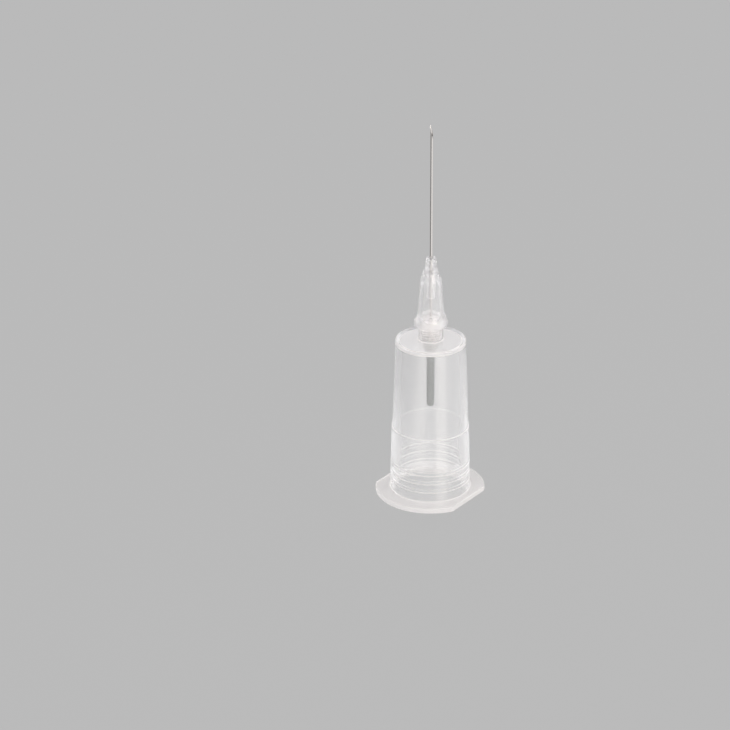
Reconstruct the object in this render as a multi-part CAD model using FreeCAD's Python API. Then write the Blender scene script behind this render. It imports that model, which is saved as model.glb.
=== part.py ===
import FreeCAD, Part
import math
import os
from FreeCAD import Vector

# Blood collection needle screwed into its clear tube holder, standing on the holder's flange.
# Lengths are in millimetres. Z runs up the needle, and Z = 0 is the underside of the flange.
# The flange's flats face +X and -X, and the ground face of the front needle's point faces +X.

# Tube holder: barrel
holder_height = 47.1        # underside of the flange to the top face
barrel_top_radius = 9.85    # outside, where the barrel meets the top face
barrel_wall = 1.05          # at the mouth and under the top plate
upper_draft = 2.05          # degrees, above the step
lower_draft = 1.4           # degrees, below the step
step_height = 20.7          # height of the step outside the barrel
step_width = 0.2
top_plate = 1.37            # thickness of the plate that closes the barrel
top_edge_bevel = 0.3

# Tube holder: flange with two flats
flange_radius = 15.62
flange_thickness = 1.57
flange_across_flats = 27.0
flange_corner_round = 1.2   # where a flat meets the round edge
flange_edge_bevel = 0.3     # on the flange's upper edge

# Tube holder: ribs round the inside of the mouth
rib_count = 3
rib_first_height = 4.45     # middle of the lowest rib
rib_pitch = 2.6
rib_width = 1.1
rib_depth = 0.2             # at the rib's crest

# Tube holder: collar that takes the needle's thread
collar_radius = 3.45
collar_height = 4.0
collar_edge_bevel = 0.2

# Needle tube, 21 gauge
cannula_radius = 0.41
cannula_bore_radius = 0.255
glue_gap = 0.03             # round each cannula, in its hub

# Front needle
front_exposed = 38.0        # from the nose of the hub to the point
bevel_angle = 12.0          # degrees from the needle's axis
lancet_angle = 20.0         # degrees, for the two side grinds at the point
lancet_turn = 35.0          # degrees that each side grind is turned about the needle
flash_gap = 0.5             # from the front cannula's lower end to the rear hub

# Rear needle
rear_reach = 18.8           # from the end of the thread to the point
rear_bevel_angle = 18.0

# Threaded rear hub, drawn at the crest of its thread
thread_radius = 2.8
thread_clearance = 0.1
thread_length = 4.2
thread_chamfer = 0.35
head_height = 2.4           # of the head that closes the window hub
head_radius = 2.93
funnel_radius = 1.2         # mouth of the passage to the rear cannula
funnel_depth = 0.6
sleeve_boss_radius = 1.55
sleeve_boss_length = 3.4
sleeve_boss_taper = 0.8     # height of the boss's tapered end
sleeve_boss_end_radius = 1.2
rear_well_radius = 0.75
rear_well_depth = 1.0

# Window hub, from its ring up to its nose
socket_clearance = 0.02     # round the rear hub's head
ring_radius = 4.62
ring_height = 2.1
ring_bevel = 0.4            # on the ring's lower edge
ring_shoulder_rise = 1.25
window_base_radius = 3.72
window_rise = 10.45
window_top_radius = 3.0
window_wall = 0.75          # at the window's top
shoulder_rise = 3.4
nose_base_radius = 1.66
nose_top_radius = 1.45
nose_length = 3.1
nose_bevel = 0.3
chamber_ledge = 0.2         # width of the ledge that the rear hub's head seats against
roof_drop = 1.6             # from the window's top down to where the chamber's roof starts
roof_rise = 2.9
hub_boss_radius = 1.33      # inner boss that steadies the front cannula
hub_boss_length = 6.8       # from its root in the chamber's roof down to its end
hub_boss_bevel = 0.5
front_well_radius = 0.85
front_well_depth = 1.4
meniscus_rise = 0.45        # height to which the glue climbs the front cannula above the nose

# Rubber sleeve over the rear cannula
sleeve_radius = 1.1
sleeve_wall = 0.5
sleeve_end_wall = 0.8
sleeve_tip_gap = 0.8        # from the closed end's inside to the rear cannula's point
sleeve_fit = 0.05           # between the sleeve's neck and its boss
sleeve_flare_rise = 1.35
sleeve_tip_bevel = 0.45      # at the closed end

# Heights and radii that follow from these sizes
collar_top = holder_height + collar_height
plate_underside = holder_height - top_plate
bore_radius = thread_radius + thread_clearance
step_inner_radius = barrel_top_radius + (holder_height - step_height) * math.tan(math.radians(upper_draft))
step_outer_radius = step_inner_radius + step_width
barrel_base_radius = step_outer_radius + step_height * math.tan(math.radians(lower_draft))
passage_radius = cannula_radius + glue_gap

thread_end = collar_top - thread_length
head_top = collar_top + head_height
sleeve_boss_end = thread_end - sleeve_boss_length
rear_point = thread_end - rear_reach
rear_cannula_top = head_top - funnel_depth

socket_radius = head_radius + socket_clearance
ring_top = collar_top + ring_height
window_base = ring_top + ring_shoulder_rise
window_top = window_base + window_rise
nose_bottom = window_top + shoulder_rise
nose_top = nose_bottom + nose_length
roof_start = window_top - roof_drop
roof_end = roof_start + roof_rise
boss_end = roof_end - hub_boss_length
front_point = nose_top + front_exposed
front_cannula_bottom = head_top + flash_gap

sleeve_top = thread_end - sleeve_fit
sleeve_bottom = rear_point - sleeve_tip_gap - sleeve_end_wall
sleeve_neck_bore = sleeve_boss_radius + sleeve_fit
sleeve_neck_radius = sleeve_neck_bore + sleeve_wall

Z_AXIS = Vector(0, 0, 1)
ORIGIN = Vector(0, 0, 0)


def outline(points):
    """Closed wire in the XZ plane. Each point is (radius, height) or (radius, height, corner bevel)."""
    corners = [Vector(point[0], 0, point[1]) for point in points]
    path = []
    for index, corner in enumerate(corners):
        if len(points[index]) == 2:
            path.append(corner)
            continue
        bevel = points[index][2]
        for neighbour in (corners[index - 1], corners[(index + 1) % len(corners)]):
            path.append(corner + (neighbour - corner).normalize() * bevel)
    return Part.makePolygon(path + [path[0]])


def turned(points):
    """Solid made by turning an outline about the Z axis."""
    return Part.Face(outline(points)).revolve(ORIGIN, Z_AXIS, 360)


def barrel_outside(height):
    """Outer radius of the barrel below its step."""
    return barrel_base_radius - height * math.tan(math.radians(lower_draft))


def barrel_inside(height):
    """Inner radius of the barrel, one straight taper from the mouth up to the top plate."""
    slope = (barrel_base_radius - barrel_top_radius) / holder_height
    return barrel_base_radius - barrel_wall - height * slope


def make_flange():
    """Round plate with two flats, rounded corners and a bevelled upper edge."""
    disc = Part.makeCylinder(flange_radius, flange_thickness)
    corner = Vector(-flange_across_flats / 2, -flange_radius, 0)
    block = Part.makeBox(flange_across_flats, 2 * flange_radius, flange_thickness, corner)
    plate = disc.common(block)
    upright = [edge for edge in plate.Edges if abs(edge.tangentAt(edge.FirstParameter).z) > 0.5]
    plate = plate.makeFillet(flange_corner_round, upright)
    upper = [edge for edge in plate.Edges if edge.BoundBox.ZMin > flange_thickness / 2]
    return plate.makeChamfer(flange_edge_bevel, upper)


def make_cavity():
    """Space inside the holder: ribbed mouth, tapered barrel and the bore through the collar."""
    wall = [(barrel_inside(rib_first_height - rib_pitch / 2), 0)]
    for number in range(rib_count):
        middle = rib_first_height + number * rib_pitch
        wall += [
            (barrel_inside(middle - rib_pitch / 2), middle - rib_width / 2),
            (barrel_inside(middle) - rib_depth, middle),
            (barrel_inside(middle + rib_pitch / 2), middle + rib_width / 2),
        ]
    return turned([(0, 0)] + wall + [
        (barrel_inside(plate_underside), plate_underside),
        (bore_radius, plate_underside),
        (bore_radius, collar_top),
        (0, collar_top),
    ])


def make_holder():
    """Tube holder: flange, stepped barrel, top plate and threaded collar in one moulding."""
    outside = turned([
        (0, 0),
        (barrel_outside(0), 0),
        (step_outer_radius, step_height),
        (step_inner_radius, step_height),
        (barrel_top_radius, holder_height, top_edge_bevel),
        (collar_radius, holder_height),
        (collar_radius, collar_top, collar_edge_bevel),
        (0, collar_top),
    ])
    return outside.fuse(make_flange()).removeSplitter().cut(make_cavity())


def make_window_hub():
    """Clear front hub: ring, tapered flash window, nose and the boss that hangs inside."""
    return turned([
        (socket_radius, collar_top),
        (ring_radius, collar_top, ring_bevel),
        (ring_radius, ring_top),
        (window_base_radius, window_base),
        (window_top_radius, window_top),
        (nose_base_radius, nose_bottom),
        (nose_top_radius, nose_top, nose_bevel),
        (front_well_radius, nose_top),
        (front_well_radius, nose_top - front_well_depth),
        (passage_radius, nose_top - front_well_depth),
        (passage_radius, boss_end),
        (hub_boss_radius, boss_end, hub_boss_bevel),
        (hub_boss_radius, roof_end),
        (window_top_radius - window_wall, roof_start),
        (socket_radius - chamber_ledge, head_top),
        (socket_radius, head_top),
    ])


def make_rear_hub():
    """Threaded insert: head in the window hub, thread crest, and the boss that carries the sleeve."""
    return turned([
        (rear_well_radius, sleeve_boss_end),
        (sleeve_boss_end_radius, sleeve_boss_end),
        (sleeve_boss_radius, sleeve_boss_end + sleeve_boss_taper),
        (sleeve_boss_radius, thread_end),
        (thread_radius - thread_chamfer, thread_end),
        (thread_radius, thread_end + thread_chamfer),
        (thread_radius, collar_top),
        (head_radius, collar_top),
        (head_radius, head_top),
        (funnel_radius, head_top),
        (passage_radius, rear_cannula_top),
        (passage_radius, sleeve_boss_end + rear_well_depth),
        (rear_well_radius, sleeve_boss_end + rear_well_depth),
    ])


def half_space(point, tilt, turn, reach):
    """Large block above a plane through a point: tilt is its angle to the Z axis, turn is about Z."""
    block = Part.makeBox(reach, reach, reach, Vector(-reach / 2, -reach / 2, 0))
    block.rotate(ORIGIN, Vector(0, 1, 0), 90 - tilt)
    block.rotate(ORIGIN, Z_AXIS, turn)
    block.translate(point)
    return block


def cannula(bottom, top):
    """Steel tube between two heights."""
    length = top - bottom
    tube = Part.makeCylinder(cannula_radius, length, Vector(0, 0, bottom))
    return tube.cut(Part.makeCylinder(cannula_bore_radius, length, Vector(0, 0, bottom)))


def make_front_cannula():
    """Vein needle: one long bevel, and two steeper side grinds that bring it to a point."""
    point = Vector(-cannula_radius, 0, front_point)
    reach = 4 * cannula_radius / math.tan(math.radians(bevel_angle))
    needle = cannula(front_cannula_bottom, front_point)
    needle = needle.cut(half_space(point, bevel_angle, 0, reach))
    for turn in (lancet_turn, -lancet_turn):
        needle = needle.cut(half_space(point, lancet_angle, turn, reach))
    return needle


def make_rear_cannula():
    """Stopper needle: a plain bevel at its lower end."""
    point = Vector(-cannula_radius, 0, -rear_point)
    reach = 4 * cannula_radius / math.tan(math.radians(rear_bevel_angle))
    needle = cannula(-rear_cannula_top, -rear_point)
    needle = needle.cut(half_space(point, rear_bevel_angle, 0, reach))
    return needle.mirror(ORIGIN, Z_AXIS)


def make_front_adhesive():
    """Glue in the nose's well, drawn a little way up the cannula."""
    return turned([
        (cannula_radius, nose_top - front_well_depth),
        (front_well_radius, nose_top - front_well_depth),
        (front_well_radius, nose_top),
        (cannula_radius, nose_top + meniscus_rise),
    ])


def make_rear_adhesive():
    """Glue in the well at the end of the sleeve's boss, flush with it."""
    return turned([
        (cannula_radius, sleeve_boss_end + rear_well_depth),
        (cannula_radius, sleeve_boss_end),
        (rear_well_radius, sleeve_boss_end),
        (rear_well_radius, sleeve_boss_end + rear_well_depth),
    ])


def make_rubber_sleeve():
    """Closed rubber sleeve, its neck stretched over the boss of the rear hub."""
    bore = sleeve_radius - sleeve_wall
    neck_bottom = sleeve_boss_end
    flare_bottom = neck_bottom - sleeve_flare_rise
    body = turned([
        (0, sleeve_bottom),
        (sleeve_radius, sleeve_bottom, sleeve_tip_bevel),
        (sleeve_radius, flare_bottom),
        (sleeve_neck_radius, neck_bottom),
        (sleeve_neck_radius, sleeve_top),
        (0, sleeve_top),
    ])
    hollow = turned([
        (0, sleeve_bottom + sleeve_end_wall),
        (bore, sleeve_bottom + sleeve_end_wall),
        (bore, flare_bottom),
        (sleeve_neck_bore, neck_bottom),
        (sleeve_neck_bore, sleeve_top),
        (0, sleeve_top),
    ])
    return body.cut(hollow)


nodes = {
    "holder": make_holder(),
    "window_hub": make_window_hub(),
    "front_cannula": make_front_cannula(),
    "front_adhesive": make_front_adhesive(),
    "rear_hub": make_rear_hub(),
    "rear_cannula": make_rear_cannula(),
    "rear_adhesive": make_rear_adhesive(),
    "rubber_sleeve": make_rubber_sleeve(),
}

os.makedirs("parts", exist_ok=True)
for name, shape in nodes.items():
    shape.exportStep(os.path.join("parts", name + ".step"))
    print(name, "solids", len(shape.Solids), "valid", shape.isValid(), "volume", round(shape.Volume, 3))
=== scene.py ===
# %% [markdown]
# A blood collection needle, screwed into a clear tube holder, stands on the holder's flange.
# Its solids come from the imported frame, in metres, with Z up the needle and Z = 0 under the flange.
# Each piece made below takes its reach from the box of the solid that it replaces,
# so the frame is loaded first, and its own box is noted before anything is added.

# %% Load the frame
import math
import bmesh
import bpy
from mathutils import Matrix, Vector


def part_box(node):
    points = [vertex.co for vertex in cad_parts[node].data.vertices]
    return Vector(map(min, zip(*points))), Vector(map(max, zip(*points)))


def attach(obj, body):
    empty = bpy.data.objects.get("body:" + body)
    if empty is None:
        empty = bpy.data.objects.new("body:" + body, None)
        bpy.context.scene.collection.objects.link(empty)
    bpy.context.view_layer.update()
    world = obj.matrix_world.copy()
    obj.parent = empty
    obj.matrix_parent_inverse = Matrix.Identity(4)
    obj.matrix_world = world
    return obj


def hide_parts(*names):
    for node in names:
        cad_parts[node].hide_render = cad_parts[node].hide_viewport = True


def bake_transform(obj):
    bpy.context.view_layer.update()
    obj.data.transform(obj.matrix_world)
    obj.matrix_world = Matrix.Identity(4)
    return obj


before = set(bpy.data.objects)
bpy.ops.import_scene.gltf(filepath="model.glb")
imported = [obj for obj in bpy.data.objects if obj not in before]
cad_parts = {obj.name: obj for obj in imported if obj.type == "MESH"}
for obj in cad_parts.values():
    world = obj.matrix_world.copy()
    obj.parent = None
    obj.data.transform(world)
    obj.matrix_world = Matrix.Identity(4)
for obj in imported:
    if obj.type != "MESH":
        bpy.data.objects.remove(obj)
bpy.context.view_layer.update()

# %% [markdown]
# Clear mouldings are judged by how the room shows through them, so the camera is set up first.
# It is a long lens a little over half a metre away, which looks down by 24 degrees.
# The needle stands slightly right of the picture's middle, so the camera stands slightly left of it.

# %% Camera
MM = 0.001
CAMERA_AZIMUTH = math.radians(36.82)    # from looking along +Y, turned towards -X
CAMERA_PITCH = math.radians(24.32)      # looking down
CAMERA_ROLL = math.radians(-0.48)
CAMERA_HEIGHT = 294.45 * MM
CAMERA_DISTANCE = 564.9 * MM            # level, from the needle's axis
CAMERA_SIDESTEP = 18.41 * MM
CAMERA_LENS = 108.96                    # mm, before a sensor 36 mm wide

ahead = Vector((-math.sin(CAMERA_AZIMUTH), math.cos(CAMERA_AZIMUTH), 0))
right = Vector((math.cos(CAMERA_AZIMUTH), math.sin(CAMERA_AZIMUTH), 0))
camera = bpy.data.objects.new("camera", bpy.data.cameras.new("camera"))
bpy.context.scene.collection.objects.link(camera)
camera.data.lens = CAMERA_LENS
camera.matrix_world = (
    Matrix.Translation(Vector((0, 0, CAMERA_HEIGHT)) - ahead * CAMERA_DISTANCE - right * CAMERA_SIDESTEP)
    @ Matrix.Rotation(CAMERA_AZIMUTH, 4, "Z")
    @ Matrix.Rotation(math.radians(90) - CAMERA_PITCH, 4, "X")
    @ Matrix.Rotation(CAMERA_ROLL, 4, "Z")
)
bpy.context.scene.camera = camera
print("camera at", [round(value, 4) for value in camera.matrix_world.translation])

# %% [markdown]
# Every finish below is a small node tree. Colours are written as the hex values that a paint
# program shows, and one function turns them into the linear values that the renderer works in.
# A second function adds a node, sets its options and joins its inputs, so each tree reads as a recipe.

# %% Helpers for materials
DETAIL = 2.0            # octaves of each fine noise


def linear(code):
    """Linear colour of an sRGB hex code."""
    values = [int(code[place:place + 2], 16) / 255 for place in (1, 3, 5)]
    return [
        value / 12.92 if value <= 0.04045 else ((value + 0.055) / 1.055) ** 2.4
        for value in values
    ] + [1]


def add_node(tree, kind, options=None, **inputs):
    """New node. Options are its own settings; inputs are values, or sockets to be linked."""
    node = tree.nodes.new(kind)
    for name, value in (options or {}).items():
        setattr(node, name, value)
    for name, value in inputs.items():
        socket = node.inputs[int(name[1:]) if name[1:].isdigit() else name.replace("_", " ")]
        if isinstance(value, bpy.types.NodeSocket):
            tree.links.new(value, socket)
        else:
            socket.default_value = value
    return node


def empty_material(name):
    """New material without any nodes yet, and its tree."""
    material = bpy.data.materials.new(name)
    material.use_nodes = True
    material.node_tree.nodes.clear()
    return material, material.node_tree


print("white is", linear("#FFFFFF"))

# %% [markdown]
# The holder, hub and insert are clear injection mouldings. Moulded polypropylene bends light with
# an index of about 1.49, and it is never quite clear: it scatters a little at its skin and all
# through, so a thin wall is only pale, while a rim, where the look runs far inside the plastic,
# turns white. Principled transmission gives the bending and the gloss. A back face tells that a ray
# has come through the inside, and the ray's length is then its way through the plastic, so the
# share of haze grows as in real milk: one minus e to the power of minus the way times the haze of
# one millimetre, and the skin's own haze on top. Milk scatters half forwards and half back.
# The mould is polished round and round, and such fine lines draw a lamp out into an upright
# streak, which a glossy lobe with radial tangents gives. Lamps would throw a solid shadow through
# glassy surfaces, so for shadow rays the skin turns transparent.
# The holder needs three finishes of one plastic. Its thick top plate cools slowly, grows coarser
# crystals and comes out whiter. Its corners, the step, the flange's edge and the underside are
# matt, because the mould is sunk there by sparks and can't be polished. The threaded insert is a
# more milky grade, and the hub is polycarbonate, which is clearer and bends light more. The glue
# that holds the needles is an acrylic, cured by light, and it is hardly hazy at all.

# %% Clear plastics
WHITE = linear("#FFFFFF")
STREAK_ROUGHNESS = 0.35
STREAK_DRAW = 0.8       # how far the lines of the mould draw a lamp out
BACKWARD_SHARE = 0.5    # of the light that milk scatters


def polished_skin(tree, streak, roughness, index, grain_mm, relief_mm):
    """Skin that bends light, with a share of gloss drawn out into upright streaks."""
    place = add_node(tree, "ShaderNodeTexCoord").outputs["Object"]
    grain = add_node(tree, "ShaderNodeTexNoise", Vector=place, Scale=1 / (grain_mm * MM), Detail=DETAIL)
    relief = add_node(
        tree, "ShaderNodeBump", Height=grain.outputs["Fac"], Strength=1.0, Distance=relief_mm * MM,
    )
    body = add_node(
        tree, "ShaderNodeBsdfPrincipled", Base_Color=WHITE, Transmission_Weight=1.0,
        Roughness=roughness, IOR=index, Normal=relief.outputs["Normal"],
    )
    round_about = add_node(tree, "ShaderNodeTangent", {"direction_type": "RADIAL", "axis": "Z"})
    streaks = add_node(
        tree, "ShaderNodeBsdfAnisotropic", Color=WHITE, Roughness=STREAK_ROUGHNESS,
        Anisotropy=STREAK_DRAW, Tangent=round_about.outputs["Tangent"],
    )
    skin = add_node(
        tree, "ShaderNodeMixShader", _0=streak, _1=body.outputs["BSDF"], _2=streaks.outputs["BSDF"],
    )
    return skin.outputs["Shader"]


def milk(tree, haze_code):
    """Haze that throws half of the light back and lets half of it on."""
    backwards = add_node(tree, "ShaderNodeBsdfDiffuse", Color=linear(haze_code))
    onwards = add_node(tree, "ShaderNodeBsdfTranslucent", Color=linear(haze_code))
    scattered = add_node(
        tree, "ShaderNodeMixShader", _0=1 - BACKWARD_SHARE, _1=backwards.outputs["BSDF"],
        _2=onwards.outputs["BSDF"],
    )
    return scattered.outputs["Shader"]


def haze_share(tree, ray, skin_haze, haze_per_mm):
    """Share of haze that a ray meets: the skin's own, and that of its way through the plastic."""
    depth = add_node(
        tree, "ShaderNodeMath", {"operation": "MULTIPLY"},
        _0=ray.outputs["Ray Length"], _1=-haze_per_mm / MM,
    )
    clear = add_node(tree, "ShaderNodeMath", {"operation": "EXPONENT"}, _0=depth.outputs["Value"])
    hazy = add_node(tree, "ShaderNodeMath", {"operation": "SUBTRACT"}, _0=1.0, _1=clear.outputs["Value"])
    inside = add_node(tree, "ShaderNodeNewGeometry").outputs["Backfacing"]
    share = add_node(
        tree, "ShaderNodeMath", {"operation": "MULTIPLY_ADD", "use_clamp": True},
        _0=hazy.outputs["Value"], _1=inside, _2=skin_haze,
    )
    return share.outputs["Value"]


def clear_plastic(name, haze_code, skin_haze, haze_per_mm, streak, roughness, index, grain_mm, relief_mm):
    """Clear moulded plastic with haze on its skin and inside, which lets the light of lamps through."""
    material, tree = empty_material(name)
    ray = add_node(tree, "ShaderNodeLightPath")
    skin = add_node(
        tree, "ShaderNodeMixShader", _0=haze_share(tree, ray, skin_haze, haze_per_mm),
        _1=polished_skin(tree, streak, roughness, index, grain_mm, relief_mm), _2=milk(tree, haze_code),
    )
    unseen = add_node(tree, "ShaderNodeBsdfTransparent")
    surface = add_node(
        tree, "ShaderNodeMixShader", _0=ray.outputs["Is Shadow Ray"], _1=skin.outputs["Shader"],
        _2=unseen.outputs["BSDF"],
    )
    add_node(tree, "ShaderNodeOutputMaterial", Surface=surface.outputs["Shader"])
    return material


natural_polypropylene = clear_plastic(
    "natural polypropylene, injection moulded", "#F6F5F6", skin_haze=0.045, haze_per_mm=0.1, streak=0.09,
    roughness=0.015, index=1.49, grain_mm=1.5, relief_mm=0.0008,
)
thick_polypropylene = clear_plastic(
    "natural polypropylene, slowly cooled", "#F6F4F4", skin_haze=0.02, haze_per_mm=0.35, streak=0.03,
    roughness=0.015, index=1.49, grain_mm=1.5, relief_mm=0.0008,
)
matt_polypropylene = clear_plastic(
    "natural polypropylene, moulded matt", "#F6F4F3", skin_haze=0.75, haze_per_mm=0.4, streak=0.0,
    roughness=0.12, index=1.49, grain_mm=1.5, relief_mm=0.0008,
)
translucent_polypropylene = clear_plastic(
    "translucent polypropylene, injection moulded", "#F6F4F4", skin_haze=0.1, haze_per_mm=0.45, streak=0.0,
    roughness=0.03, index=1.49, grain_mm=0.6, relief_mm=0.004,
)
clear_polycarbonate = clear_plastic(
    "clear polycarbonate, polished mould", "#F8F7F8", skin_haze=0.04, haze_per_mm=0.15, streak=0.0,
    roughness=0.01, index=1.58, grain_mm=0.8, relief_mm=0.001,
)
cured_acrylic_glue = clear_plastic(
    "light-cured acrylic glue", "#EFF0EC", skin_haze=0.03, haze_per_mm=0.08, streak=0.0,
    roughness=0.03, index=1.48, grain_mm=0.3, relief_mm=0.002,
)
print("clear plastics", [
    material.name
    for material in (
        natural_polypropylene, thick_polypropylene, matt_polypropylene,
        translucent_polypropylene, clear_polycarbonate, cured_acrylic_glue,
    )
])

# %% [markdown]
# The needles are drawn stainless tube, electropolished after grinding. Drawing leaves very fine
# lines along the tube, so a noise stretched along Z drives a shallow bump and the roughness.
# The lines on real tube are a hundredth of a millimetre apart; here they are drawn at 0.05 mm,
# which is as fine as the picture can show.

# %% Drawn stainless steel
def drawn_steel(code, line_mm, stretch, relief_mm, smoothest, roughest):
    """Bright drawn tube with fine lines along its length."""
    material, tree = empty_material("stainless steel, drawn and electropolished")
    place = add_node(tree, "ShaderNodeTexCoord").outputs["Object"]
    along = add_node(tree, "ShaderNodeMapping", Vector=place, Scale=(1, 1, 1 / stretch))
    lines = add_node(
        tree, "ShaderNodeTexNoise", Vector=along.outputs["Vector"], Scale=1 / (line_mm * MM), Detail=DETAIL,
    )
    relief = add_node(
        tree, "ShaderNodeBump", Height=lines.outputs["Fac"], Strength=1.0, Distance=relief_mm * MM,
    )
    polish = add_node(
        tree, "ShaderNodeMapRange", Value=lines.outputs["Fac"], To_Min=smoothest, To_Max=roughest,
    )
    steel = add_node(
        tree, "ShaderNodeBsdfPrincipled", Base_Color=linear(code), Metallic=1.0,
        Roughness=polish.outputs["Result"], Normal=relief.outputs["Normal"],
    )
    add_node(tree, "ShaderNodeOutputMaterial", Surface=steel.outputs["BSDF"])
    return material


stainless = drawn_steel(
    "#E2DEDB", line_mm=0.05, stretch=30, relief_mm=0.001, smoothest=0.14, roughest=0.26,
)
print("steel", stainless.name)

# %% [markdown]
# The sleeve is moulded grey rubber: matt, slightly uneven in tone, with a fine grain on its skin.
# Two noises of different size vary its colour and its skin.

# %% Grey rubber
CLOUD_DETAIL = 3.0


def grey_rubber(dark_code, pale_code, cloud_mm, skin_mm, relief_mm, roughness):
    """Matt grey rubber, slightly uneven in tone."""
    material, tree = empty_material("isoprene rubber, moulded")
    place = add_node(tree, "ShaderNodeTexCoord").outputs["Object"]
    cloud = add_node(
        tree, "ShaderNodeTexNoise", Vector=place, Scale=1 / (cloud_mm * MM), Detail=CLOUD_DETAIL,
    )
    tone = add_node(
        tree, "ShaderNodeMix", {"data_type": "RGBA"}, _0=cloud.outputs["Fac"],
        _6=linear(dark_code), _7=linear(pale_code),
    )
    skin = add_node(tree, "ShaderNodeTexNoise", Vector=place, Scale=1 / (skin_mm * MM), Detail=DETAIL)
    relief = add_node(
        tree, "ShaderNodeBump", Height=skin.outputs["Fac"], Strength=1.0, Distance=relief_mm * MM,
    )
    rubber_skin = add_node(
        tree, "ShaderNodeBsdfPrincipled", Base_Color=tone.outputs[2], Roughness=roughness,
        Normal=relief.outputs["Normal"],
    )
    add_node(tree, "ShaderNodeOutputMaterial", Surface=rubber_skin.outputs["BSDF"])
    return material


rubber = grey_rubber(
    "#505651", "#646964", cloud_mm=2.5, skin_mm=0.15, relief_mm=0.01, roughness=0.55,
)
print("rubber", rubber.name)

# %% [markdown]
# Almost every piece here is round, as if turned on a lathe, so one helper does most of the
# modelling. It lays a chain of vertices in the XZ plane, rounds chosen corners with a vertex
# bevel, and spins the chain about Z. A closed chain gives a ring, and a chain whose ends lie on the
# axis gives a closed body. Rounding the outline before the spin costs few faces and keeps every
# edge even all the way round, which beats bevelling hundreds of edges afterwards.

# %% Helpers for turned pieces
TURN_STEPS = 192        # round a full turn of the large mouldings
ROUND_STEPS = 6         # along each rounded corner of an outline
SHARP = math.radians(32)                # edges that turn by more are shaded sharp
JOIN_MM = 0.0001        # points that lie nearer than this are one


def added_verts(work, old_verts):
    """Vertices that are new since a set of them was noted."""
    return [vert for vert in work.verts if vert not in old_verts]


def linked(verts, kind):
    """All edges or all faces at some vertices, each once and in the same order every run."""
    return list(dict.fromkeys(part for vert in verts for part in getattr(vert, kind)))


def round_off(work, parts, radius, steps, affect):
    """Rounds vertices or edges; the radius is in mm."""
    bmesh.ops.bevel(
        work, geom=parts, offset=radius * MM, offset_type="OFFSET", affect=affect,
        segments=steps, profile=0.5, material=-1, clamp_overlap=False,
    )


def spin_about_z(work, parts, angle, steps, climb=0.0, merge=False):
    """Spins parts about Z, while they climb by so many metres at each step."""
    bmesh.ops.spin(
        work, geom=parts, cent=(0, 0, 0), axis=(0, 0, 1), dvec=(0, 0, climb),
        angle=angle, steps=steps, use_merge=merge,
    )


def spin_outline(work, points, closed, steps):
    """Spins an outline of (radius, height) or (radius, height, round) points, in mm, about Z."""
    old_verts = set(work.verts)
    corners = [work.verts.new((point[0] * MM, 0, point[1] * MM)) for point in points]
    pairs = list(zip(corners, corners[1:]))
    if closed:
        pairs.append((corners[-1], corners[0]))
    for pair in pairs:
        work.edges.new(pair)
    for corner, point in zip(corners, points):
        if len(point) == 3:
            round_off(work, [corner], point[2], ROUND_STEPS, "VERTICES")
    outline = added_verts(work, old_verts)
    spin_about_z(work, outline + linked(outline, "link_edges"), math.tau, steps, merge=True)


def finish_piece(work, name, material, body, replaced):
    """Makes an object of a bmesh with its material, hides the solid that it replaces and, if one is named,
    ties it to its body.
    """
    bmesh.ops.remove_doubles(work, verts=work.verts, dist=JOIN_MM * MM)
    bmesh.ops.recalc_face_normals(work, faces=work.faces)
    for edge in work.edges:
        edge.smooth = edge.calc_face_angle(0) < SHARP
    for face in work.faces:
        face.smooth = True
    open_edges = sum(1 for edge in work.edges if not edge.is_manifold)
    volume = work.calc_volume(signed=True) / MM ** 3
    mesh = bpy.data.meshes.new(name)
    work.to_mesh(mesh)
    work.free()
    mesh.materials.append(material)
    piece = bpy.data.objects.new(name, mesh)
    bpy.context.scene.collection.objects.link(piece)
    weighted = piece.modifiers.new("even shading", "WEIGHTED_NORMAL")
    weighted.keep_sharp = True
    if body:
        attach(piece, body)
    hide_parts(replaced)
    print(name, "faces", len(mesh.polygons), "open edges", open_edges, "volume mm3", round(volume, 2))
    return piece


def reach(node):
    """Lowest height, highest height and largest radius across X of a solid of the frame, in mm."""
    low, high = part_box(node)
    return low.z / MM, high.z / MM, high.x / MM


for node in sorted(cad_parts):
    print(node, [round(value, 3) for value in reach(node)])

# %% [markdown]
# Threads are left to this script. A thread is its own outline, one pitch tall, spun about the axis
# while it climbs one pitch a turn. The turns meet each other edge to edge, so merging doubles gives
# one continuous helical wall, which two level cuts then trim. The rings that are left between the
# cut edge and the plain wall are filled flat. The needle's thread is cut into its shaft and the
# collar's into its bore, so the two never meet when the needle is drawn straight out.

# %% Helpers for threads
THREAD_PITCH = 0.7
CREST_SHARE, FLANK_SHARE = 0.3, 0.15    # of the pitch
THREAD_STEPS = 96       # round each turn
TURN_JOIN_MM = 0.002    # turns that meet are joined over this distance
LEVEL_MM = 0.0005       # heights that differ by less are the same


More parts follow.
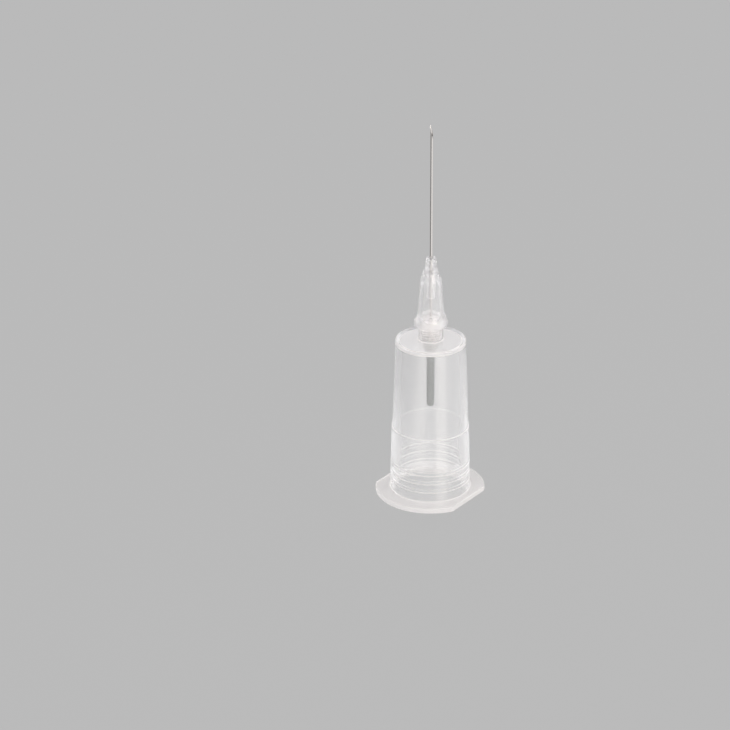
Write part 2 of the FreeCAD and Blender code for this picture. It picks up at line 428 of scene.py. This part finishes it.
def spin_thread(work, crest_radius, root_radius, bottom, top):
    """Helical wall between two radii, trimmed level at two heights, in mm."""
    crest, flank = CREST_SHARE * THREAD_PITCH, FLANK_SHARE * THREAD_PITCH
    heights = [0, crest, crest + flank, THREAD_PITCH - flank, THREAD_PITCH]
    radii = [crest_radius, crest_radius, root_radius, root_radius, crest_radius]
    start = bottom - THREAD_PITCH
    turns = math.ceil((top - bottom) / THREAD_PITCH) + 1
    old_verts = set(work.verts)
    chain = [
        work.verts.new((radius * MM, 0, (start + height) * MM))
        for radius, height in zip(radii, heights)
    ]
    edges = [work.edges.new(pair) for pair in zip(chain, chain[1:])]
    spin_about_z(
        work, chain + edges, math.tau * turns, THREAD_STEPS * turns, climb=THREAD_PITCH * MM / THREAD_STEPS,
    )
    bmesh.ops.remove_doubles(work, verts=added_verts(work, old_verts), dist=TURN_JOIN_MM * MM)
    for height, facing in ((bottom, -1), (top, 1)):
        wall = added_verts(work, old_verts)
        bmesh.ops.bisect_plane(
            work, geom=wall + linked(wall, "link_edges") + linked(wall, "link_faces"),
            dist=JOIN_MM * MM, plane_co=(0, 0, height * MM), plane_no=(0, 0, facing), clear_outer=True,
        )


def fill_level(work, height):
    """Fills the flat ring or plate between the open edges that lie at one height."""
    rim = [
        edge for edge in work.edges
        if edge.is_boundary and all(abs(vert.co.z - height * MM) < LEVEL_MM * MM for vert in edge.verts)
    ]
    bmesh.ops.triangle_fill(work, use_beauty=True, edges=rim)


print("thread pitch", THREAD_PITCH, "mm")

# %% [markdown]
# The holder is one moulding: a flange with two flats, a barrel with a step halfway, a flat top and
# a short collar with the thread inside. The flange isn't round, so it is drawn in plan: two arcs
# joined by straight flats, their corners rounded, extruded and given soft edges. The barrel is
# turned, and level rings join the two. The root of the barrel has a small fillet, as mouldings do.

# %% Flange
_, HOLDER_HIGH, FLAT_REACH = reach("holder")
FLANGE_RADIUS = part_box("holder")[1].y / MM
FLANGE_THICKNESS = 1.57
FLANGE_CORNER_ROUND, FLANGE_EDGE_ROUND = 0.4, 0.35
FLANGE_STEPS = 48       # along each of its two arcs
FLANGE_EDGE_STEPS = 5   # over each soft edge


def draw_flange_plan(work):
    """Closed line of two arcs and two flats with rounded corners, seen from above."""
    half_flat = math.acos(FLAT_REACH / FLANGE_RADIUS)
    start = Matrix.Rotation(half_flat, 3, "Z") @ Vector((FLANGE_RADIUS * MM, 0, 0))
    for turn in (0, math.pi):
        vert = work.verts.new(Matrix.Rotation(turn, 3, "Z") @ start)
        spin_about_z(work, [vert], math.pi - 2 * half_flat, FLANGE_STEPS)
    ends = [vert for vert in work.verts if len(vert.link_edges) == 1]
    for side in (-1, 1):
        work.edges.new([vert for vert in ends if vert.co.x * side > 0])
    round_off(work, ends, FLANGE_CORNER_ROUND, ROUND_STEPS, "VERTICES")


def add_flange(work):
    """Rim of the flange with soft edges; its two level faces are left open."""
    draw_flange_plan(work)
    plan = bmesh.ops.edgeloop_fill(work, edges=work.edges)["faces"]
    raised = bmesh.ops.extrude_face_region(work, geom=plan)["geom"]
    top_verts = [part for part in raised if isinstance(part, bmesh.types.BMVert)]
    bmesh.ops.translate(work, verts=top_verts, vec=(0, 0, FLANGE_THICKNESS * MM))
    level = [
        edge for edge in work.edges
        if abs(edge.verts[0].co.z - edge.verts[1].co.z) < LEVEL_MM * MM
    ]
    round_off(work, level, FLANGE_EDGE_ROUND, FLANGE_EDGE_STEPS, "EDGES")
    plates = sorted(work.faces, key=lambda face: face.calc_area())[-2:]
    bmesh.ops.delete(work, geom=plates, context="FACES_ONLY")


print("flange", round(2 * FLAT_REACH, 2), "mm across its flats,", round(2 * FLANGE_RADIUS, 2), "mm round")

# %% [markdown]
# The barrel's outline runs up the outside, over the collar, and down the inside. It stops short of
# the bore, where the thread takes over. The mouth has three low ribs that grip the blood tube. They
# have flat crests and steep flanks, so each draws two fine lines round the barrel. The third
# number of a corner is its round, in this outline and in all that follow.

# %% Outlines of the holder
BARREL_BASE, BARREL_TOP, TOP_FACE = 11.5, 9.85, 47.1
WALL, PLATE = 1.05, 1.37
UNDERSIDE = TOP_FACE - PLATE
STEP_HEIGHT, STEP_OUTER, STEP_INNER = 20.7, 10.995, 10.795
STEP_ROUND, STEP_ROOT = 0.15, 0.04
COLLAR_RADIUS, BORE_RADIUS, BORE_ROOT, COUNTERBORE = 3.45, 2.9, 3.1, 3.14
COUNTERBORE_DEPTH = 0.35
BORE_THREAD_LOW = UNDERSIDE + COUNTERBORE_DEPTH
BORE_THREAD_HIGH = HOLDER_HIGH - COUNTERBORE_DEPTH
CRISP = 0.05            # round of an edge that looks sharp
COLLAR_ROUND, TOP_ROUND, CAVITY_ROUND = 0.15, 0.35, 0.3
ROOT_FILLET = 0.4
ROOT_RING, MOUTH_RING = 0.9, 0.5    # widths that the level rings start from
RIB_FIRST, RIB_SPACING, RIB_COUNT = 4.45, 2.6, 3
RIB_HEIGHTS = [RIB_FIRST + RIB_SPACING * number for number in range(RIB_COUNT)]
RIB_HALF, RIB_DEPTH, RIB_FLANK = 0.55, 0.2, 0.15


def inside_radius(height):
    """Inner radius of the tapered barrel at a height, in mm."""
    return BARREL_BASE - WALL - height * (BARREL_BASE - BARREL_TOP) / TOP_FACE


def holder_outside():
    """Outline up the barrel, over the collar and into its mouth."""
    root = BARREL_BASE - FLANGE_THICKNESS * (BARREL_BASE - STEP_OUTER) / STEP_HEIGHT
    return [
        (root + ROOT_RING, FLANGE_THICKNESS),
        (root, FLANGE_THICKNESS, ROOT_FILLET),
        (STEP_OUTER, STEP_HEIGHT, STEP_ROUND),
        (STEP_INNER, STEP_HEIGHT, STEP_ROOT),
        (BARREL_TOP, TOP_FACE, TOP_ROUND),
        (COLLAR_RADIUS, TOP_FACE, TOP_ROUND),
        (COLLAR_RADIUS, HOLDER_HIGH, COLLAR_ROUND),
        (COUNTERBORE, HOLDER_HIGH, CRISP),
        (COUNTERBORE, BORE_THREAD_HIGH),
    ]


def holder_inside():
    """Outline from the bore down the inside, over the ribs, to the underside."""
    outline = [
        (COUNTERBORE, BORE_THREAD_LOW),
        (COUNTERBORE, UNDERSIDE, CRISP),
        (inside_radius(UNDERSIDE), UNDERSIDE, CAVITY_ROUND),
    ]
    for height in reversed(RIB_HEIGHTS):
        crest = inside_radius(height) - RIB_DEPTH
        outline += [
            (inside_radius(height + RIB_HALF), height + RIB_HALF, CRISP),
            (crest, height + RIB_HALF - RIB_FLANK, CRISP),
            (crest, height - RIB_HALF + RIB_FLANK, CRISP),
            (inside_radius(height - RIB_HALF), height - RIB_HALF, CRISP),
        ]
    return outline + [(inside_radius(0), 0, CAVITY_ROUND), (inside_radius(0) + MOUTH_RING, 0)]


print("ribs at", [round(height, 2) for height in RIB_HEIGHTS], "mm")

# %% [markdown]
# The flange, the thread and both outlines make one closed skin. The finish of a face then follows
# from where it is and how it slopes: the plate and the collar are the slowly cooled plastic, and
# corners, the step, the flange's edge and the underside are the matt one.

# %% Holder
PLATE_FINISH, MATT_FINISH = 1, 2        # places in the holder's list of materials
PLATE_ABOVE = 45.7      # height from which a face belongs to the top plate or the collar
UNDERSIDE_BELOW = 0.02  # height below which a face is the flange's underside
CORNER_SLOPES = (0.2, 0.97)             # upright share of a face's normal at corners and flanks
CORNER_BEYOND = 3.2     # radius that leaves the threads out
STEP_BAND = 0.2         # how far the step's matt band goes up and down
FLANGE_BEYOND = 12.0    # radius beyond which a steep face is the flange's edge


def share_out_finishes(piece):
    """Gives the plate and the matt places of the holder their own finishes."""
    piece.data.materials.append(thick_polypropylene)
    piece.data.materials.append(matt_polypropylene)
    for face in piece.data.polygons:
        slope, distance = abs(face.normal.z), face.center.xy.length / MM
        corner = CORNER_SLOPES[0] < slope < CORNER_SLOPES[1] and distance > CORNER_BEYOND
        step = abs(face.center.z - STEP_HEIGHT * MM) < STEP_BAND * MM
        flange_edge = slope < CORNER_SLOPES[0] and distance > FLANGE_BEYOND
        if corner or step or flange_edge or face.center.z < UNDERSIDE_BELOW * MM:
            face.material_index = MATT_FINISH
        elif face.center.z > PLATE_ABOVE * MM:
            face.material_index = PLATE_FINISH


def make_holder():
    """Tube holder with flange, step, ribs, collar and inner thread."""
    work = bmesh.new()
    add_flange(work)
    spin_thread(work, BORE_RADIUS, BORE_ROOT, BORE_THREAD_LOW, BORE_THREAD_HIGH)
    for outline in (holder_outside(), holder_inside()):
        spin_outline(work, outline, closed=False, steps=TURN_STEPS)
    for height in (0, FLANGE_THICKNESS, BORE_THREAD_LOW, BORE_THREAD_HIGH):
        fill_level(work, height)
    piece = finish_piece(
        work, "tube_holder_moulding", natural_polypropylene, "tube_holder", "holder",
    )
    share_out_finishes(piece)


make_holder()

# %% [markdown]
# The window hub is the clear part above the collar, where blood shows when the vein is reached.
# Outside it is a ring, a tapered window, a shoulder and a nose. Inside it is a chamber with a
# slim boss that hangs from the roof and steadies the needle. One closed outline holds all of it.

# %% Window hub
HUB_LOW, HUB_HIGH, RING_RADIUS = reach("window_hub")
HAIRLINE = 0.02         # parts that touch are drawn this far apart
HUB_SEAT = HUB_LOW + HAIRLINE
SEAT_RADIUS, RING_TOP = 2.95, 53.2
WINDOW_FOOT = (3.72, 54.45, 0.5)
WINDOW_HEAD = (3.0, 64.9, 0.6)
NOSE_FOOT, NOSE_TIP_RADIUS = (1.66, 68.3, 0.3), 1.45
NOSE_WELL, NOSE_WELL_FLOOR = 0.85, 70.0
PASSAGE = 0.44
BOSS_END, BOSS_RADIUS = 59.4, 1.25
BOSS_STEP, BOSS_THICK_RADIUS = 62.7, 1.33
ROOF_MIDDLE, ROOF_EDGE = 66.2, (2.25, 63.3, 0.5)
CHAMBER_FOOT, CHAMBER_RADIUS = 53.5, 2.75
RING_ROUND, NOSE_TIP_ROUND, INNER_ROUND = 0.45, 0.5, 0.08
BOSS_END_ROUND, BOSS_STEP_ROUND, ROOF_ROUND = 0.6, 0.04, 0.3


def make_window_hub():
    """Clear hub with ring, window, nose, chamber and inner boss."""
    work = bmesh.new()
    spin_outline(work, [
        (SEAT_RADIUS, HUB_SEAT, CRISP),
        (RING_RADIUS, HUB_SEAT, RING_ROUND),
        (RING_RADIUS, RING_TOP, RING_ROUND),
        WINDOW_FOOT,
        WINDOW_HEAD,
        NOSE_FOOT,
        (NOSE_TIP_RADIUS, HUB_HIGH, NOSE_TIP_ROUND),
        (NOSE_WELL, HUB_HIGH, INNER_ROUND),
        (NOSE_WELL, NOSE_WELL_FLOOR, INNER_ROUND),
        (PASSAGE, NOSE_WELL_FLOOR),
        (PASSAGE, BOSS_END, INNER_ROUND),
        (BOSS_RADIUS, BOSS_END, BOSS_END_ROUND),
        (BOSS_RADIUS, BOSS_STEP),
        (BOSS_THICK_RADIUS, BOSS_STEP, BOSS_STEP_ROUND),
        (BOSS_THICK_RADIUS, ROOF_MIDDLE, ROOF_ROUND),
        ROOF_EDGE,
        (CHAMBER_RADIUS, CHAMBER_FOOT, INNER_ROUND),
        (SEAT_RADIUS, CHAMBER_FOOT),
    ], closed=True, steps=TURN_STEPS)
    finish_piece(
        work, "window_hub_moulding", clear_polycarbonate, "needle_unit", "window_hub",
    )


make_window_hub()

# %% [markdown]
# The rear hub closes the chamber, screws into the collar and carries the sleeve. Its outline is
# open where the thread runs: the helical wall fills that stretch, with a small relief at each end.

# %% Rear hub
REAR_LOW, REAR_HIGH, HEAD_RADIUS = reach("rear_hub")
SHAFT_CREST, SHAFT_ROOT, SHAFT_RELIEF = 2.8, 2.58, 2.5
SHAFT_LOW, SHAFT_THREAD_LOW, SHAFT_THREAD_HIGH = 46.9, 47.2, 50.6
FUNNEL_RADIUS, FUNNEL_DEPTH = 1.2, 0.6
REAR_WELL, REAR_WELL_ROOF = 0.75, 44.5
SLEEVE_BOSS_TIP, SLEEVE_BOSS, SLEEVE_BOSS_FOOT = 1.2, 1.55, 44.3
SEAT_CORNER, HEAD_ROUND, PASSAGE_ROUND = 0.06, 0.15, 0.1
BOSS_TIP_ROUND, BOSS_FOOT_ROUND, BOSS_ROOT_ROUND, SHAFT_END_ROUND = 0.15, 0.3, 0.1, 0.12


def make_rear_hub():
    """Insert with head, outer thread and the boss for the sleeve."""
    work = bmesh.new()
    spin_thread(work, SHAFT_CREST, SHAFT_ROOT, SHAFT_THREAD_LOW, SHAFT_THREAD_HIGH)
    spin_outline(work, [
        (SHAFT_RELIEF, SHAFT_THREAD_HIGH),
        (SHAFT_RELIEF, HUB_SEAT, CRISP),
        (HEAD_RADIUS, HUB_SEAT, SEAT_CORNER),
        (HEAD_RADIUS, REAR_HIGH, HEAD_ROUND),
        (FUNNEL_RADIUS, REAR_HIGH, HEAD_ROUND),
        (PASSAGE, REAR_HIGH - FUNNEL_DEPTH, PASSAGE_ROUND),
        (PASSAGE, REAR_WELL_ROOF),
        (REAR_WELL, REAR_WELL_ROOF),
        (REAR_WELL, REAR_LOW, CRISP),
        (SLEEVE_BOSS_TIP, REAR_LOW, BOSS_TIP_ROUND),
        (SLEEVE_BOSS, SLEEVE_BOSS_FOOT, BOSS_FOOT_ROUND),
        (SLEEVE_BOSS, SHAFT_LOW, BOSS_ROOT_ROUND),
        (SHAFT_RELIEF, SHAFT_LOW, SHAFT_END_ROUND),
        (SHAFT_RELIEF, SHAFT_THREAD_LOW),
    ], closed=False, steps=TURN_STEPS)
    for height in (SHAFT_THREAD_LOW, SHAFT_THREAD_HIGH):
        fill_level(work, height)
    finish_piece(
        work, "rear_hub_moulding", translucent_polypropylene, "needle_unit", "rear_hub",
    )


make_rear_hub()

# %% [markdown]
# Both needles are cut from one tube. The front point is a lancet: one long bevel, then two
# steeper grinds from the sides that bring it to a sharp tip. The rear point is a plain bevel.
# Each grind is a cut through the tube wall with a plane, and the opened wall is filled flat.

# %% Needles
TUBE_RADIUS, TUBE_BORE = 0.41, 0.255
TUBE_STEPS = 96         # round a full turn of the slim pieces
LONG_BEVEL, SIDE_GRIND, REAR_BEVEL = (math.radians(angle) for angle in (12, 20, 18))
SIDE_TURN = math.radians(35)
GRIND_JOIN_MM = 0.00001                 # a corner that is nearer to a ground face lies in it


def grind(work, tip, normal):
    """Cuts everything beyond a plane away and closes the cut wall."""
    parts = work.verts[:] + work.edges[:] + work.faces[:]
    cut = bmesh.ops.bisect_plane(
        work, geom=parts, dist=GRIND_JOIN_MM * MM, plane_co=tip, plane_no=normal, clear_outer=True,
    )["geom_cut"]
    edges = [part for part in cut if isinstance(part, bmesh.types.BMEdge)]
    bmesh.ops.triangle_fill(work, use_beauty=True, edges=edges, normal=normal)


def make_tube(name, node, tip_height, grinds):
    """Steel tube over a solid's own length, ground at one end."""
    low, high, _ = reach(node)
    work = bmesh.new()
    outline = [(TUBE_BORE, low), (TUBE_RADIUS, low), (TUBE_RADIUS, high), (TUBE_BORE, high)]
    spin_outline(work, outline, closed=True, steps=TUBE_STEPS)
    for normal in grinds:
        grind(work, (-TUBE_RADIUS * MM, 0, tip_height * MM), normal)
    finish_piece(work, name, stainless, "needle_unit", node)


def grind_normal(angle, turn, side):
    """Direction that a ground face looks in: its angle to the needle, its turn, and up or down."""
    outwards = math.cos(angle)
    return Vector((outwards * math.cos(turn), outwards * math.sin(turn), side * math.sin(angle)))


make_tube("front_needle_tube", "front_cannula", reach("front_cannula")[1], [
    grind_normal(LONG_BEVEL, 0, 1),
    grind_normal(SIDE_GRIND, SIDE_TURN, 1),
    grind_normal(SIDE_GRIND, -SIDE_TURN, 1),
])
make_tube("rear_needle_tube", "rear_cannula", reach("rear_cannula")[0], [
    grind_normal(REAR_BEVEL, 0, -1),
])

# %% [markdown]
# A drop of glue holds each needle in its hub. It fills a small well and climbs the tube a little,
# because liquid glue wets steel, so its free face is a curve that rises to the tube.

# %% Glue
GLUE_EDGE = 0.05        # below the well's rim at its wall, and the round there
GLUE_CLIMB_RADIUS = 0.52                # where the face turns up to climb the tube
NOSE_DIP, BOSS_DIP = 0.02, 0.08         # of the face below the rim at that radius
NOSE_CURVE, BOSS_CURVE = 0.12, 0.08     # round of the hollow face


def make_glue(name, node, floor, edge, dip, curve, tip):
    """Ring of glue between a well and its needle; the heights run from its floor to its tip."""
    needle_side = TUBE_RADIUS + HAIRLINE
    well_side = reach(node)[2] - HAIRLINE
    work = bmesh.new()
    spin_outline(work, [
        (needle_side, floor),
        (well_side, floor),
        (well_side, edge, GLUE_EDGE),
        (GLUE_CLIMB_RADIUS, dip, curve),
        (needle_side, tip),
    ], closed=True, steps=TUBE_STEPS)
    finish_piece(work, name, cured_acrylic_glue, "needle_unit", node)


low, high, _ = reach("front_adhesive")
make_glue(
    "nose_glue", "front_adhesive", floor=low + HAIRLINE, edge=HUB_HIGH - GLUE_EDGE,
    dip=HUB_HIGH - NOSE_DIP, curve=NOSE_CURVE, tip=high,
)
low, high, _ = reach("rear_adhesive")
make_glue(
    "boss_glue", "rear_adhesive", floor=high - HAIRLINE, edge=low + GLUE_EDGE,
    dip=low + BOSS_DIP, curve=BOSS_CURVE, tip=low,
)

# %% [markdown]
# The rubber sleeve is a closed tube over the rear needle. Its neck is stretched over the boss of
# the rear hub, and a blood tube's stopper pushes it up, when it crumples against the hub.
# It is turned like the rest.

# %% Rubber sleeve
SLEEVE_RADIUS, SLEEVE_BORE, NECK_BORE = 1.1, 0.6, 1.6
FLARE_LOW, FLARE_HIGH = 42.15, 43.5     # where the thin tube widens to the neck
END_WALL, DOME_ROUND, HOLLOW_ROUND = 0.8, 1.05, 0.5
LIP_ROUND, LIP_INNER_ROUND = 0.2, 0.1
FLARE_FOOT_ROUND, FLARE_TOP_ROUND = 1.2, 0.8
FLARE_INNER_TOP_ROUND, FLARE_INNER_FOOT_ROUND = 0.6, 0.8


def make_sleeve():
    """Closed rubber sleeve with a domed end and a stretched neck."""
    low, high, neck = reach("rubber_sleeve")
    work = bmesh.new()
    spin_outline(work, [
        (0, low),
        (SLEEVE_RADIUS, low, DOME_ROUND),
        (SLEEVE_RADIUS, FLARE_LOW, FLARE_FOOT_ROUND),
        (neck, FLARE_HIGH, FLARE_TOP_ROUND),
        (neck, high, LIP_ROUND),
        (NECK_BORE, high, LIP_INNER_ROUND),
        (NECK_BORE, FLARE_HIGH, FLARE_INNER_TOP_ROUND),
        (SLEEVE_BORE, FLARE_LOW, FLARE_INNER_FOOT_ROUND),
        (SLEEVE_BORE, low + END_WALL, HOLLOW_ROUND),
        (0, low + END_WALL),
    ], closed=False, steps=TUBE_STEPS)
    piece = finish_piece(work, "rubber_sleeve_moulding", rubber, None, "rubber_sleeve")
    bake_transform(piece)


make_sleeve()

# %% [markdown]
# The table is a plain pale grey sheet. Seen straight on, or through clear plastic, it mostly shows
# its own grey, and the rest is lit by the lamps, so a faint shadow stays under the flange. No cards
# stand around the set: their reflection is painted into the table, and it glows. A ray that some
# surface has mirrored or scattered finds painted white in front and beside the needle, painted grey
# behind it, and painted dark shade far on the left. This glow also lights the plastic, and the dark
# shade along the steel's left edge is that painted shade, mirrored.

# %% Table
TABLE_GREY = "#BBBBBB"
TABLE_HALF = 3.0        # m, half of each side
GLOW_SHARE = 0.88        # share of the table's look that glows: its own grey to the camera, painted reflections to bounced rays; the rest is lit by the lamps
FIBRE_SIZE, FIBRE_RELIEF = 0.8, 0.004
# painted reflection colours: white of cards that don't stand there, painted dark shade on the far left,
# painted grey behind
PAINTED_CARD_WHITE, PAINTED_LEFT_SHADE, PAINTED_BACK_GREY = "#FFFFFF", "#7C7C7C", "#C8C8C8"
PAINTED_SHADE_EDGE = (-90, -50)  # mm rightwards from the needle; there the painted shade turns to painted white
PAINTED_BACK_EDGE = (20, 90)    # mm behind the needle; there the painted white turns to painted grey


def ramp_along(tree, place, direction, edge):
    """Value that climbs from 0 to 1 between two distances along a level direction, in mm."""
    along = add_node(
        tree, "ShaderNodeVectorMath", {"operation": "DOT_PRODUCT"}, _0=place, _1=tuple(direction),
    )
    ramp = add_node(
        tree, "ShaderNodeMapRange", Value=along.outputs["Value"],
        From_Min=edge[0] * MM, From_Max=edge[1] * MM,
    )
    return ramp.outputs["Result"]


def painted_card_reflections(tree, place):
    """Painted reflection that a mirrored ray finds on the table: painted white card, painted shade on the
    far left and painted grey behind.
    """
    # painted shade on the far left turns into painted white towards the needle
    painted_side = add_node(
        tree, "ShaderNodeMix", {"data_type": "RGBA"}, _0=ramp_along(tree, place, right, PAINTED_SHADE_EDGE),
        _6=linear(PAINTED_LEFT_SHADE), _7=linear(PAINTED_CARD_WHITE),
    )
    painted_cards = add_node(
        tree, "ShaderNodeMix", {"data_type": "RGBA"}, _0=ramp_along(tree, place, ahead, PAINTED_BACK_EDGE),
        _6=painted_side.outputs[2], _7=linear(PAINTED_BACK_GREY),
    )
    return painted_cards.outputs[2]


def painted_table():
    """Pale grey sheet that keeps a faint shadow, and glows with painted reflections for mirrored and
    scattered rays.
    """
    material, tree = empty_material("grey card, matt, glowing with painted reflections")
    place = add_node(tree, "ShaderNodeTexCoord").outputs["Object"]
    fibre = add_node(tree, "ShaderNodeTexNoise", Vector=place, Scale=1 / (FIBRE_SIZE * MM), Detail=DETAIL)
    relief = add_node(
        tree, "ShaderNodeBump", Height=fibre.outputs["Fac"], Strength=1.0, Distance=FIBRE_RELIEF * MM,
    )
    lit = add_node(
        tree, "ShaderNodeBsdfDiffuse", Color=linear(TABLE_GREY), Normal=relief.outputs["Normal"],
    )
    ray = add_node(tree, "ShaderNodeLightPath")
    bounced = add_node(
        tree, "ShaderNodeMath", {"operation": "ADD", "use_clamp": True},
        _0=ray.outputs["Glossy Depth"], _1=ray.outputs["Diffuse Depth"],
    )
    # bounced rays find the painted reflections, camera rays the plain grey
    seen = add_node(
        tree, "ShaderNodeMix", {"data_type": "RGBA"}, _0=bounced.outputs["Value"],
        _6=linear(TABLE_GREY), _7=painted_card_reflections(tree, place),
    )
    glow = add_node(tree, "ShaderNodeEmission", Color=seen.outputs[2], Strength=1.0)
    surface = add_node(
        tree, "ShaderNodeMixShader", _0=GLOW_SHARE, _1=lit.outputs["BSDF"], _2=glow.outputs["Emission"],
    )
    add_node(tree, "ShaderNodeOutputMaterial", Surface=surface.outputs["Shader"])
    return material


def lay_table():
    """Wide square sheet a hair below the flange."""
    work = bmesh.new()
    bmesh.ops.create_grid(work, x_segments=1, y_segments=1, size=TABLE_HALF)
    bmesh.ops.translate(work, verts=work.verts, vec=(0, 0, -HAIRLINE * MM))
    mesh = bpy.data.meshes.new("table")
    work.to_mesh(mesh)
    work.free()
    mesh.materials.append(painted_table())
    table = bpy.data.objects.new("table", mesh)
    bpy.context.scene.collection.objects.link(table)


lay_table()
print("table is", TABLE_GREY)

# %% [markdown]
# The room around is one even, pale light. The camera itself sees it as grey as the table, so the
# far edge of the table doesn't show.

# %% Room
ROOM_WHITE = "#E3E3E6"


def light_room():
    """Even pale room, which the camera itself sees as grey as the table."""
    world = bpy.data.worlds.new("room")
    bpy.context.scene.world = world
    world.use_nodes = True
    world.node_tree.nodes.clear()
    seen = add_node(world.node_tree, "ShaderNodeBackground", Color=linear(TABLE_GREY), Strength=1.0)
    lit = add_node(world.node_tree, "ShaderNodeBackground", Color=linear(ROOM_WHITE), Strength=1.0)
    ray = add_node(world.node_tree, "ShaderNodeLightPath")
    room = add_node(
        world.node_tree, "ShaderNodeMixShader", _0=ray.outputs["Is Camera Ray"],
        _1=lit.outputs["Background"], _2=seen.outputs["Background"],
    )
    add_node(world.node_tree, "ShaderNodeOutputWorld", Surface=room.outputs["Shader"])


light_room()
print("room is", ROOM_WHITE)

# %% [markdown]
# One tall soft box stands right of the camera. It leaves an upright streak on the near wall and a
# second on the inside of the far wall, which is what tells the eye that the barrel is round.
# The pale room fills in from all sides, and a wide box overhead lifts the level faces.

# %% Lamps
TARGET = Vector((0, 0, 50 * MM))


def soft_box(name, side_degrees, rise_degrees, distance, width, height, glow, code):
    """Soft box at an angle from the camera's side of the needle; glow is how bright its face is."""
    side, rise = math.radians(side_degrees), math.radians(rise_degrees)
    level = -ahead * math.cos(side) + right * math.sin(side)
    away = level * math.cos(rise) + Vector((0, 0, math.sin(rise)))
    data = bpy.data.lights.new(name, "AREA")
    data.shape = "RECTANGLE"
    data.size = width
    data.size_y = height
    data.energy = glow * math.pi * width * height
    data.color = linear(code)[:3]
    lamp = bpy.data.objects.new(name, data)
    lamp.matrix_world = (
        Matrix.Translation(TARGET + away * distance)
        @ (-away).to_track_quat("-Z", "Y").to_matrix().to_4x4()
    )
    bpy.context.scene.collection.objects.link(lamp)


soft_box(
    "key box", side_degrees=31, rise_degrees=24, distance=1.2, width=0.62, height=1.0,
    glow=2.3, code="#FFF8F0",
)
soft_box(
    "top box", side_degrees=180, rise_degrees=75, distance=1.4, width=1.2, height=1.2,
    glow=0.4, code="#FFFFFF",
)
print("lamps", sorted(light.name for light in bpy.data.lights))

# %% [markdown]
# The picture is shown with the plain Standard view, so a colour renders as it is written.

# %% Finish
bpy.context.scene.view_settings.view_transform = "Standard"
